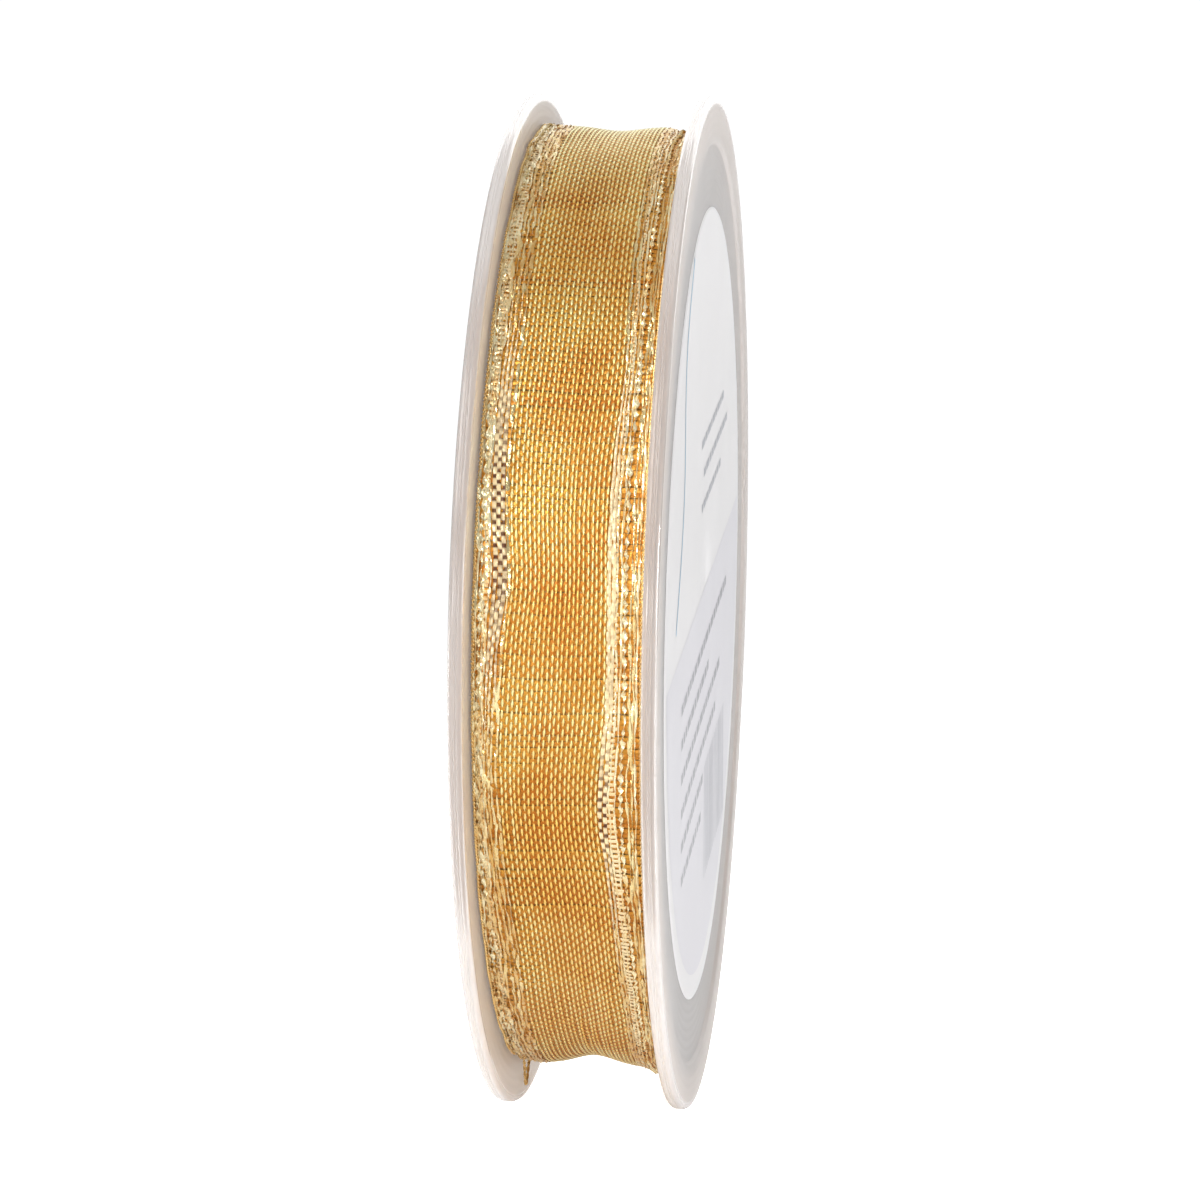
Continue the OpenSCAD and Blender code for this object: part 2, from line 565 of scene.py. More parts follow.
@dataclass(frozen=True)
class Yarn(Finish):
    """Shiny thread: the cloth's tone, slow patches and fine specks make it paler and glossier.

    Attributes:
        patch: Scale of its patches, in cycles for each metre.
        speck: Scale of its specks, in cycles for each metre.
        patchy: How much the patches change its tone.
        specky: How much the specks change its tone.
    """

    patch: float = 160.0
    speck: float = 3600.0
    patchy: float = 0.45
    specky: float = 0.5

    def make(self) -> Material:
        """Builds the material, which is second colour at tone 0 and main colour at tone 1.

        Returns:
            The material.
        """
        material, graph, shader = self.start()
        grain = self.grain(graph, self.patch, self.speck, 0.6)
        tone = graph.add("SeparateXYZ", {0: graph.add("TexCoord").outputs["UV"]}).outputs["X"]
        for output, amount in (("Patch", self.patchy), ("Speck", self.specky)):
            part = graph.math("MULTIPLY", graph.math("SUBTRACT", grain.outputs[output], 0.5), amount)
            tone = graph.math("ADD", tone, part)
        pale = graph.math("ADD", tone, 0.0, clamp=True)
        colour = graph.mix(pale, solid(self.second), solid(self.colour))
        graph.link(colour, shader, "Base Color")
        rough = graph.spread(pale, 0.0, 1.0, self.roughness * 1.4, self.roughness * 0.7)
        graph.link(rough, shader, "Roughness")
        self.bump(graph, shader, grain.outputs["Speck"], 0.03 * MM, 0.6)
        return material


@dataclass(frozen=True)
class WovenSheet(Finish):
    """Woven cloth as one thin sheet, with its threads, their colours, painted shade in the weave's low
    places and its pinholes.

    Attributes:
        warp_pitch: Distance between warps, in millimetres.
        weft_pitch: Distance between wefts, in millimetres.
        fill: A thread's width as a share of its pitch.
    """

    warp_pitch: float = 0.42
    weft_pitch: float = 0.51
    fill: float = 0.86

    def make(self) -> Material:
        """Builds the material on the piece's own pattern coordinates, in millimetres across and along.

        Returns:
            The material.
        """
        material, graph, shader = self.start()
        uv = graph.add("SeparateXYZ", {0: graph.add("TexCoord").outputs["UV"]})
        values = {"Across": uv.outputs["X"], "Along": uv.outputs["Y"], "Warp Pitch": self.warp_pitch,
                  "Weft Pitch": self.weft_pitch, "Fill": self.fill}
        weave = graph.add("Group", values, node_tree=SHARED["weave"])
        grain = self.grain(graph, 220.0, 3800.0, 0.6)
        threads = graph.mix(weave.outputs["Warp On Top"], solid(self.second), solid(self.colour))
        # painted shade: low places of the weave darken towards 0.4 of the second colour
        shade = graph.spread(weave.outputs["Height"], 0.1, 0.7)
        shade = graph.math("MULTIPLY", shade, graph.spread(grain.outputs["Patch"], 0.0, 1.0, 0.7, 1.0))
        colour = graph.mix(shade, solid(tuple(0.4 * c for c in self.second)), threads)
        graph.link(colour, shader, "Base Color")
        graph.link(weave.outputs["Cover"], shader, "Alpha")
        self.bump(graph, shader, weave.outputs["Height"], 0.12 * MM)
        return material


@dataclass(frozen=True)
class ClearFilm(Finish):
    """Clear adhesive film: mostly see-through, with a haze of fine wrinkles.

    Attributes:
        cover: How much of what is behind it it hides.
    """

    cover: float = 0.14

    def make(self) -> Material:
        """Builds the material, whose cover and height follow the grain.

        Returns:
            The material.
        """
        material, graph, shader = self.start()
        grain = self.grain(graph, 350.0, 1500.0, 0.4)
        cover = graph.spread(grain.outputs["Patch"], 0.0, 1.0, self.cover * 0.9, self.cover * 1.1)
        graph.link(cover, shader, "Alpha")
        self.bump(graph, shader, grain.outputs["Height"], 0.04 * MM)
        return material


SHARED: dict[str, Tree] = {}  # the groups that several materials use, made before them


@dataclass
class Finishes:
    """Every material of the spool, each made once.

    Attributes:
        reel: The flanges' plastic.
        core: The core's plastic.
        paper: The label's paper.
        inks: The label's inks, in the order of Ink.
        organza: The wound organza.
        band: The wound selvedges.
        warp: Lengthwise threads of the organza.
        weft: Its cross threads.
        threads: The selvedges' threads, in the order of Thread.
        wire: The wired edges.
        film: The clear tapes.
    """

    reel: Material = field(init=False)
    core: Material = field(init=False)
    paper: Material = field(init=False)
    inks: list[Material] = field(init=False)
    organza: Material = field(init=False)
    band: Material = field(init=False)
    warp: Material = field(init=False)
    weft: Material = field(init=False)
    threads: list[Material] = field(init=False)
    wire: Material = field(init=False)
    film: Material = field(init=False)

    def __post_init__(self) -> None:
        """Builds the shared groups and then the materials."""
        SHARED["weave"] = plain_weave_group()
        SHARED["grain"] = grain_group()
        self.reel = ReelPlastic("reel_plastic", (0.62, 0.52, 0.475), (0.58, 0.48, 0.435), 0.55).make()
        self.core = ReelPlastic("core_plastic", (0.86, 0.84, 0.80), (0.80, 0.78, 0.75), 0.40,
                                clear=0.2).make()
        self.paper = Paper("label_paper", (0.88, 0.87, 0.875), (0.84, 0.83, 0.835), 0.5).make()
        self.inks = [
            Paper("ink_tint", (0.80, 0.79, 0.825), (0.76, 0.75, 0.785), 0.5).make(),
            Paper("ink_grey", (0.46, 0.46, 0.49), (0.40, 0.40, 0.43), 0.4).make(),
            Paper("ink_light_grey", (0.55, 0.56, 0.60), (0.50, 0.51, 0.55), 0.4).make(),
            Paper("ink_blue", (0.32, 0.58, 0.78), (0.28, 0.52, 0.72), 0.4).make(),
        ]
        self.organza = WovenSheet("organza", (1.0, 0.74, 0.28), (0.95, 0.42, 0.06), 0.35, 0.25,
                                  warp_pitch=0.45, weft_pitch=0.48, fill=0.9).make()
        self.band = WovenSheet("metallic_selvedge", (0.80, 0.54, 0.22), (0.46, 0.22, 0.05), 0.3, 0.6,
                               warp_pitch=0.35, fill=0.85).make()
        self.warp = Yarn("warp_yarn", (0.97, 0.87, 0.42), (0.97, 0.62, 0.15), 0.19, 0.55).make()
        self.weft = Yarn("weft_yarn", (0.62, 0.30, 0.035), (0.45, 0.14, 0.006), 0.36, 0.55).make()
        self.threads = [
            Yarn("pale_metallic_yarn", (0.94, 0.86, 0.56), (0.78, 0.54, 0.22), 0.18, 0.6).make(),
            Yarn("gold_metallic_yarn", (0.90, 0.77, 0.41), (0.70, 0.42, 0.13), 0.18, 0.8).make(),
            Yarn("cream_yarn", (0.88, 0.70, 0.41), (0.76, 0.46, 0.17), 0.30, 0.4).make(),
            # the bead yarn's near-black second colour is painted shade for the eyelets between beads
            Yarn("bead_yarn_painted_eyelet_shade", (0.94, 0.75, 0.43), (0.11, 0.03, 0.004), 0.28, 0.2,
                 patchy=0.15, specky=0.15).make(),
        ]
        self.wire = Yarn("edge_wire", (0.95, 0.74, 0.36), (0.80, 0.50, 0.18), 0.25, 1.0).make()
        self.film = ClearFilm("adhesive_film", (0.95, 0.94, 0.90), (0.95, 0.94, 0.90), 0.15).make()


# ---------------------------------------------------------------- the reel


def arc(centre: tuple[float, float], radius: float, start: float, end: float) -> np.ndarray:
    """Seven points of a round corner, centre + radius (cos a, sin a), between two angles in degrees."""
    a = np.radians(np.linspace(start, end, 7))
    return np.stack([centre[0] + radius * np.cos(a), centre[1] + radius * np.sin(a)], axis=1)


@dataclass
class Reel:
    """Two snap-on flanges and the core between them.

    Attributes:
        finishes: The spool's materials.
        rim_radius: Outside radius of a flange.
        rim: Thickness at the rim bead.
        web: Thickness inside the bead.
        bead: Radial width of the bead.
        soften: Radius of the bead's rounded edges.
        hole: Radius of the hole that takes the core's axle tube.
        groove: Depth of the parting grooves in the rim.
        pegs: Number of snap pegs on a flange.
        peg_circle: Radius of the circle that the pegs stand on.
        peg: Radius of a peg.
        peg_length: Length of a peg.
        peg_tip: How much the peg's tip is bevelled.
        steps: Points round a flange.
        peg_steps: Points round a peg.
    """

    finishes: Finishes
    rim_radius: float = 50.0
    rim: float = 1.4
    web: float = 1.0
    bead: float = 4.4
    soften: float = 0.45
    hole: float = 7.45
    groove: float = 0.08
    pegs: int = 3
    peg_circle: float = 16.0
    peg: float = 1.5
    peg_length: float = 4.6
    peg_tip: float = 0.4
    steps: int = 288
    peg_steps: int = 24

    def profile(self) -> np.ndarray:
        """The flange's half section, as (radius, height over its inner face).

        The rim's outside carries two shallow parting grooves, and the inner face a low ring.

        Returns:
            The closed outline, counter-clockwise.
        """
        r, s, low = self.rim_radius, self.soften, self.rim_radius - self.groove
        foot = r - self.bead
        inner = [(self.hole + 0.15, 0.0), (26.0, 0.0), (45.0, 0.0), (45.15, 0.06), (45.6, 0.06),
                 (45.75, 0.0)]
        parting = [(r, 0.56), (low, 0.6), (low, 0.64), (r, 0.68), (r, 0.80), (low, 0.83), (r, 0.86)]
        outer = [(foot + 0.25, self.rim), (foot, self.rim - 0.12), (foot - 0.1, self.web + 0.1),
                 (foot - 0.35, self.web), (30.0, self.web), (12.3, self.web),
                 (self.hole + 0.2, self.web), (self.hole, self.web - 0.2), (self.hole, 0.15)]
        low_edge, high_edge = arc((r - s, s), s, -90, 0), arc((r - s, self.rim - s), s, 0, 90)
        return np.concatenate([inner, low_edge, parting, high_edge, outer])

    def peg_shell(self, turn: float, base: float) -> Shell:
        """One snap peg: its half section turned round its own axis, which runs along X.

        Args:
            turn: Its angle round the reel, in radians.
            base: X of the flange's inner face, which it stands on.

        Returns:
            The closed peg, which points towards -X, with its faces wound inwards.
        """
        middle = 0.02
        outline = np.array([(middle, 0.0), (self.peg, 0.0), (self.peg, self.peg_length - self.peg_tip),
                            (self.peg - self.peg_tip, self.peg_length), (middle, self.peg_length)])
        ring = np.arange(self.peg_steps) * TURN / self.peg_steps
        y = outline[None, :, 0] * np.sin(ring)[:, None] + self.peg_circle * np.sin(turn)
        z = outline[None, :, 0] * -np.cos(ring)[:, None] - self.peg_circle * np.cos(turn)
        x = np.broadcast_to(base - outline[None, :, 1], y.shape)
        points = np.stack([x, y, z], axis=-1).reshape(-1, 3)
        return Shell(points, grid_quads(self.peg_steps, len(outline), True, True))

    def flange(self, side: Side) -> Object:
        """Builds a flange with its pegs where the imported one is.

        Args:
            side: Which flange.

        Returns:
            The flange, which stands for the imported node.
        """
        node = f"{side.name.lower()}_flange"
        low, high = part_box(node)
        outer_face = (high.x if side is Side.RIGHT else -low.x) / MM
        inner_face = outer_face - self.rim
        disc = lathe(self.profile() + [0.0, inner_face], self.steps)
        pegs = [self.peg_shell(turn, inner_face) for turn in np.arange(self.pegs) * TURN / self.pegs]
        shell = joined([disc] + pegs)
        if side is Side.LEFT:
            shell = Shell(shell.points * [-1.0, 1.0, 1.0], shell.quads[:, ::-1], None, shell.slots)
        made = piece(f"reel_{node}", shell, [self.finishes.reel])
        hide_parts(node)
        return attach(made, "spool")

    def dress_core(self) -> None:
        """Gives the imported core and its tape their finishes."""
        for node, material in (("hub_core", self.finishes.core), ("core_tape", self.finishes.film)):
            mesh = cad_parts[node].data
            mesh.materials.clear()
            mesh.materials.append(material)
            log.info("%s: dressed", node)

    def build(self) -> None:
        """Builds both flanges and dresses the core."""
        for side in Side:
            self.flange(side)
        self.dress_core()


@dataclass
class Label:
    """The round paper label, with a generic print of a tint, a thin arc and rows of plain bars.

    Places on the label are (to the back, up) from its centre, in millimetres.

    Attributes:
        finishes: The spool's materials.
        radius: The label's radius.
        thickness: Its thickness.
        ink: How far the print stands over the paper.
        turned: How far the label is turned on the reel, in degrees.
        margin: Radius of the tinted field, inside a rim of bare paper.
        field_top: Height of the tinted field's upper edge.
        upper_rows: Start and end of each upper row of bars.
        lower_rows: Start and end of each lower row of bars.
        steps: Points round the label.
    """

    finishes: Finishes
    radius: float = 39.3
    thickness: float = 0.12
    ink: float = 0.012
    turned: float = 15.6
    margin: float = 38.0
    field_top: float = 1.8
    upper_rows: tuple[tuple[int, int], ...] = ((-4, 20), (-2, 24), (-4, 17))
    lower_rows: tuple[tuple[int, int], ...] = ((-24, 26), (-24, 4), (-24, 18), (-24, 12), (-24, -2),
                                               (-24, -4))
    steps: int = 192

    def disc(self, base: float) -> Object:
        """Builds the paper, with a cut edge that is pressed down to the flange.

        Args:
            base: X of the flange face that it sticks to.

        Returns:
            The paper.
        """
        inset = np.array([0.01, 0.0, 0.015, 0.17, 0.24, 0.5])
        lift = np.array([0.0, 0.05, 0.1, 0.88, 1.0, 1.0]) * self.thickness
        edge = np.stack([self.radius - inset, lift], axis=1)
        top = np.stack([[32.0, 20.0, 8.0, 0.01], np.full(4, self.thickness)], axis=1)
        profile = np.concatenate([[[0.01, 0.0]], edge, top])
        shell = lathe(profile + [0.0, base], self.steps)
        made = piece("face_label_paper", shell, [self.finishes.paper])
        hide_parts("face_label")
        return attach(made, "spool")

    def strip(self, path: np.ndarray, width: float, level: float, ink: Ink) -> Shell:
        """A printed line along a path on the label.

        Args:
            path: Points of its middle, as (to the back, up).
            width: Its width.
            level: X of the print.
            ink: Its ink.

        Returns:
            The line as a flat strip that faces out.
        """
        along = np.gradient(path, axis=0)
        normal = np.stack([-along[:, 1], along[:, 0]], axis=1) / np.linalg.norm(along, axis=1)[:, None]
        sides = np.stack([path - normal * (width / 2), path + normal * (width / 2)], axis=1)
        points = np.concatenate([np.full(sides.shape[:2] + (1,), level), sides], axis=2).reshape(-1, 3)
        quads = grid_quads(len(path), 2)
        return Shell(points, quads, None, np.full(len(quads), ink.value))

    def tint(self, level: float) -> Shell:
        """The tinted lower field, between a straight upper edge and a rim of bare paper.

        Its lower edge follows 1.2 - sqrt(r^2 - y^2), which leaves more bare paper at the bottom.

        Args:
            level: X of the print.

        Returns:
            The field as columns of quads from the upper edge down to the rim.
        """
        columns, rows, raised = 97, 9, 1.2
        top, rim = self.field_top, self.margin
        reach = math.sqrt(rim**2 - top**2)
        across = np.linspace(-reach, reach, columns)[:, None]
        low = -np.sqrt(np.maximum((rim + 0.01) ** 2 - across**2, 0.0)) + raised
        low = np.minimum(low, top)
        up = low + (top - low) * np.linspace(1.0, 0.0, rows)[None, :]
        points = np.stack([np.full(up.shape, level), np.broadcast_to(across, up.shape), up], axis=2)
        quads = grid_quads(columns, rows)[:, ::-1]
        return Shell(points.reshape(-1, 3), quads, None, np.full(len(quads), Ink.TINT.value))

    def print_work(self, base: float) -> Object:
        """Builds the print, turned a little on the reel as the label was stuck on.

        The thin arc runs at (-12.5 - 17t - 2.5 sin 2 pi t, 37 - 28t - 4t^3), with t from 0 to 1.

        Args:
            base: X of the paper's face.

        Returns:
            The print, as one piece with four inks.
        """
        level = base + self.ink
        over = level + self.ink
        t = np.linspace(0.0, 1.0, 65)
        sweep = np.stack([-12.5 - 17.0 * t - 2.5 * np.sin(TURN * t), 37.0 - 28.0 * t - 4.0 * t**3],
                         axis=1)
        shells = [self.tint(level), self.strip(sweep, 0.45, over, Ink.BLUE)]
        rng = np.random.default_rng(4)
        for row, (start, end) in enumerate(self.upper_rows):
            shells += self.words(rng, start, end, 17.0 - 3.2 * row, 0.8, over, Ink.LIGHT_GREY)
        for row, (start, end) in enumerate(self.lower_rows):
            shells += self.words(rng, start, end, -4.0 - 3.4 * row, 1.0, over, Ink.GREY)
        for bar in np.cumsum(rng.uniform(0.8, 1.7, 18)):
            path = np.array([(-1.0 + bar, -17.0), (-1.0 + bar, -29.0)])
            shells.append(self.strip(path, 0.35, over, Ink.LIGHT_GREY))
        shell = joined(shells)
        turn = math.radians(self.turned)
        x, y, z = shell.points.T
        back = y * math.cos(turn) - z * math.sin(turn)
        up = y * math.sin(turn) + z * math.cos(turn)
        shell.points = np.stack([x, back, up], axis=1)
        made = piece("face_label_print", shell, self.finishes.inks, smooth=False)
        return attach(made, "spool")

    def words(self, rng: np.random.Generator, start: float, end: float, up: float, height: float,
              level: float, ink: Ink) -> list[Shell]:
        """A row of plain bars of uneven length, as a stand-in for a line of small print.

        Args:
            rng: Seeded random numbers.
            start: Where the row starts.
            end: Where it ends.
            up: Its height on the label.
            height: The bars' height.
            level: X of the print.
            ink: Its ink.

        Returns:
            The bars.
        """
        shells, at = [], start
        shortest, longest, gap, least_room = 0.8, 3.0, 0.7, 1.5
        while at < end - least_room:
            stop = min(at + float(rng.uniform(shortest, longest)), end)
            shells.append(self.strip(np.array([(at, up), (stop, up)]), height, level, ink))
            at = stop + gap
        return shells

    def build(self) -> None:
        """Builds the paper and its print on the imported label's place."""
        low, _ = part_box("face_label")
        base = low.x / MM
        self.disc(base)
        self.print_work(base + self.thickness)


# ---------------------------------------------------------------- the ribbon


def smooth_step(value: np.ndarray, low: float, high: float) -> np.ndarray:
    """0 below low, 1 above high and 3t^2 - 2t^3 between."""
    t = np.clip((value - low) / (high - low), 0.0, 1.0)
    return t * t * (3.0 - 2.0 * t)


@dataclass(frozen=True)
class Spot:
    """A soft spot on the cloth.

    Attributes:
        angle: Its middle round the reel, in degrees.
        reach: Its reach round the reel, in degrees.
        amount: What it adds in its middle.
        place: Its middle across the ribbon.
        width: Its reach across the ribbon.
    """

    angle: float
    reach: float
    amount: float
    place: float = 0.0
    width: float = 1000.0

    def value(self, angle: np.ndarray, s: np.ndarray | float = 0.0) -> np.ndarray:
        """What the spot adds: amount exp(-(angle off / reach)^2 - (place off / width)^2).

        Args:
            angle: Angles round the reel, in radians.
            s: Places across the ribbon.

        Returns:
            The amounts.
        """
        off = (np.degrees(angle) - self.angle + 180.0) % 360.0 - 180.0
        return self.amount * np.exp(-((off / self.reach) ** 2) - ((s - self.place) / self.width) ** 2)


# How far each border of the organza is pushed to the right, in millimetres.
LEFT_DRIFT = (
    Spot(252, 8, -0.3), Spot(268, 5, 0.5), Spot(290, 14, -0.8), Spot(316, 8, 0.3), Spot(70, 20, 0.5),
)
RIGHT_DRIFT = (
    Spot(244, 8, 0.35), Spot(260, 10, -0.3), Spot(294, 9, -1.05), Spot(326, 10, 0.35),
    Spot(95, 15, -0.6),
)
# Where the cloth is paler, or deeper in colour. The first spot, over the top of the roll, is a painted
# highlight standing in for the glints on its warps.
TONES = (
    Spot(194, 20, 0.55), Spot(216, 7, -0.35, -1.5, 3.0), Spot(228, 6, -0.3, 1.5, 3.0),
    Spot(236, 7, 0.2, 0.5, 3.0), Spot(245, 5, -0.3, 2.5, 2.5), Spot(257, 6, 0.30, -0.3, 2.6),
    Spot(262, 7, 0.25, -4.0, 1.5), Spot(273, 6, -0.3, 0.0, 4.0), Spot(281, 3.5, 0.25, 0.5, 3.0),
    Spot(287, 5, 0.3, -3.5, 1.8), Spot(300, 15, -0.45, 0.5, 4.0), Spot(334, 9, -0.2, -1.0, 4.0),
    Spot(20, 25, 0.25), Spot(75, 22, -0.3), Spot(120, 18, 0.3),
)


@dataclass
class Lay:
    """How the ribbon lies on the reel: one long spiral that sags and wanders between the flanges.

    An angle along the ribbon starts near its free end and grows inwards, one turn for each layer.

    Attributes:
        width: Ribbon width.
        length: Whole length of ribbon.
        outer: Mean radius of the outermost turn.
        inner: Radius of the innermost turn.
        root: Angle where the outermost turn starts and the free tail ends, in degrees.
        free_end: Angle where the free tail ends, in degrees.
        sag_depth: Turns inwards over which the sag fades.
        drift_depth: Turns inwards over which the drift fades.
        tone_gain: How strongly the tone spots show.
    """

    width: float = 15.0
    length: float = 20000.0
    outer: float = 46.1
    inner: float = 25.3
    root: float = 175.0
    free_end: float = 130.0
    sag_depth: float = 14.0
    drift_depth: float = 2.0
    tone_gain: float = 1.25

    @property
    def layer(self) -> float:
        """Radial pitch: the roll's side area over the ribbon's length."""
        return math.pi * (self.outer**2 - self.inner**2) / self.length

    @property
    def turns(self) -> float:
        """Turns on the roll."""
        return (self.outer - self.inner) / self.layer

    def sag(self, angle: np.ndarray, s: np.ndarray) -> np.ndarray:
        """How far the cloth stands over its mean radius.

        The roll is a little proud at the top. At top and bottom its middle sinks between two ridges,
        the right edge dips at the top and curls out at the bottom, and small waves run along both
        edges.

        Args:
            angle: Angle round the reel, in radians.
            s: Place across the ribbon, from -7.5 to 7.5.

        Returns:
            The height in millimetres.
        """
        down = np.cos(angle)
        upright = down**2
        ridges = 0.42 * upright
        valley = -(0.68 + 0.28 * down) * upright * np.exp(-(((s + 0.2) / 2.9) ** 2))
        right_edge = 0.72 * down * np.abs(down) * smooth_step(s, 4.2, 7.3)
        left_edge = -0.45 * np.maximum(down, 0.0) * smooth_step(-s, 5.2, 7.4)
        waves = 0.06 * np.sin(11 * angle + 0.4 * s) * np.cos(0.36 * s) + 0.05 * np.sin(19 * angle + 1.1)
        edge = (np.abs(s) / 7.5) ** 3
        frills = edge * (0.10 * np.sin(31 * angle + s) + 0.07 * np.sin(53 * angle + 2.0))
        return -0.38 * down + ridges + valley + right_edge + left_edge + waves + frills

    def wander(self, angle: np.ndarray) -> np.ndarray:
        """Sideways drift of the cloth between the flanges, in millimetres."""
        return 0.05 * np.sin(angle + 0.6) + 0.03 * np.sin(3 * angle + 1.9)

    def tone(self, angle: np.ndarray, s: np.ndarray) -> np.ndarray:
        """How pale the cloth is, from 0 for deep orange to 1: a half and all the tone spots, one of
        them a painted highlight over the top.
        """
        return 0.5 + self.tone_gain * sum(spot.value(angle, s) for spot in TONES)

    def drift(self, angle: np.ndarray, s: np.ndarray) -> np.ndarray:
        """How far the woven middle is pushed sideways while both edges stay by the flanges.

        Args:
            angle: Angles round the reel, in radians.
            s: Places across the ribbon.

        Returns:
            The push at each place, which falls off evenly from each border of the middle.
        """
        left = sum(spot.value(angle) for spot in LEFT_DRIFT)
        right = sum(spot.value(angle) for spot in RIGHT_DRIFT)
        by_left = np.interp(s, [-7.4, -5.4, 4.5], [0.0, 1.0, 0.0])
        by_right = np.interp(s, [-5.4, 4.5, 7.4], [0.0, 1.0, 0.0])
        return left * by_left + right * by_right

    def place(self, angle: np.ndarray, s: np.ndarray, lift: np.ndarray | float = 0.0) -> np.ndarray:
        """Points of the cloth.

        Args:
            angle: Angle along the ribbon, in radians.
            s: Place across it, from -7.5 to 7.5.
            lift: Height over the cloth's middle surface.

        Returns:
            Points in millimetres: the spiral's radius plus the sag, with the wander and drift added
            across.
        """
        turn = (angle - math.radians(self.root)) / TURN
        depth = np.maximum(turn, 0.0)
        fade = np.exp(-depth / self.sag_depth)
        radius = self.outer - self.layer * turn + self.sag(angle, s) * fade + lift
        pushed = self.drift(angle, s) * np.exp(-depth / self.drift_depth)
        return polar(angle, radius, s + pushed + self.wander(angle) * fade)

    def axes(self, angle: np.ndarray) -> tuple[np.ndarray, np.ndarray, np.ndarray]:
        """Unit vectors of the cloth.

        Args:
            angle: Angles along the ribbon, in radians.

        Returns:
            Across the ribbon, (1, 0, 0), out of the roll, (0, sin a, -cos a), and along it,
            (0, cos a, sin a).
        """
        zero = np.zeros_like(angle)
        across = np.stack([zero + 1.0, zero, zero], axis=-1)
        out = np.stack([zero, np.sin(angle), -np.cos(angle)], axis=-1)
        along = np.stack([zero, np.cos(angle), np.sin(angle)], axis=-1)
        return across, out, along


class Spin(Enum):
    """How a selvedge yarn turns about itself."""

    RANDOM = 0
    STEADY = 1


@dataclass(frozen=True)
class EdgeYarn:
    """A flat metallic yarn that runs along a selvedge.

    Attributes:
        place: Distance from the ribbon's middle.
        half_width: Half its width.
        glint: How much it twists at random, in radians.
        thread: What it is made of.
        spin: Whether it also turns steadily, which makes a row of bright blobs.
    """

    place: float
    half_width: float
    glint: float
    thread: Thread
    spin: Spin = Spin.RANDOM


@dataclass(frozen=True)
class Selvedge:
    """What one edge of the ribbon is woven of, from its inside out.

    Attributes:
        yarns: Its lengthwise yarns.
        eyelets: Places of its columns of cream beads, with painted dark eyelets between the beads.
        painted_eyelet_shade: Where round the reel the low places between beads are painted near black,
            as painted shade in open eyelets.
        beaded: Where round the reel the cream beads are wide.
        rungs: Where the pale cross threads start and end.
        longest: Where round the reel the pale cross threads are longest.
        bright: Where round the reel the lengthwise yarns are palest.
    """

    yarns: tuple[EdgeYarn, ...]
    eyelets: tuple[float, ...]
    painted_eyelet_shade: Spot
    beaded: Spot
    rungs: tuple[float, float]
    longest: Spot
    bright: Spot


SELVEDGES = {
    Side.LEFT: Selvedge(
        yarns=(
            EdgeYarn(4.70, 0.15, 0.6, Thread.GOLD), EdgeYarn(5.10, 0.15, 0.7, Thread.GOLD),
            EdgeYarn(5.49, 0.15, 0.6, Thread.GOLD), EdgeYarn(5.88, 0.15, 0.7, Thread.GOLD),
            EdgeYarn(6.26, 0.16, 0.8, Thread.PALE), EdgeYarn(6.60, 0.17, 0.9, Thread.PALE),
            EdgeYarn(6.92, 0.21, 0.8, Thread.PALE, Spin.STEADY), EdgeYarn(7.24, 0.16, 0.8, Thread.PALE),
        ),
        eyelets=(5.11, 5.50, 5.89),
        painted_eyelet_shade=Spot(261, 15, 1.0),
        beaded=Spot(261, 18, 1.4),
        rungs=(6.30, 7.35),
        longest=Spot(222, 30, 0.6),
        bright=Spot(264, 17, 0.6),
    ),
    Side.RIGHT: Selvedge(
        yarns=(
            EdgeYarn(4.64, 0.14, 0.5, Thread.GOLD), EdgeYarn(5.00, 0.14, 0.5, Thread.GOLD),
            EdgeYarn(5.32, 0.10, 0.4, Thread.PALE), EdgeYarn(5.70, 0.10, 0.3, Thread.PALE),
            EdgeYarn(6.06, 0.23, 0.7, Thread.PALE, Spin.STEADY), EdgeYarn(6.56, 0.13, 0.7, Thread.GOLD),
            EdgeYarn(6.84, 0.13, 0.8, Thread.GOLD), EdgeYarn(7.10, 0.12, 0.8, Thread.PALE),
        ),
        eyelets=(4.64, 5.00),
        painted_eyelet_shade=Spot(295, 8, 1.0),
        beaded=Spot(278, 26, 1.5),
        rungs=(5.15, 5.85),
        longest=Spot(312, 24, 0.9),
        bright=Spot(275, 26, 0.5),
    ),
}
HalfSizes = tuple[float, float]


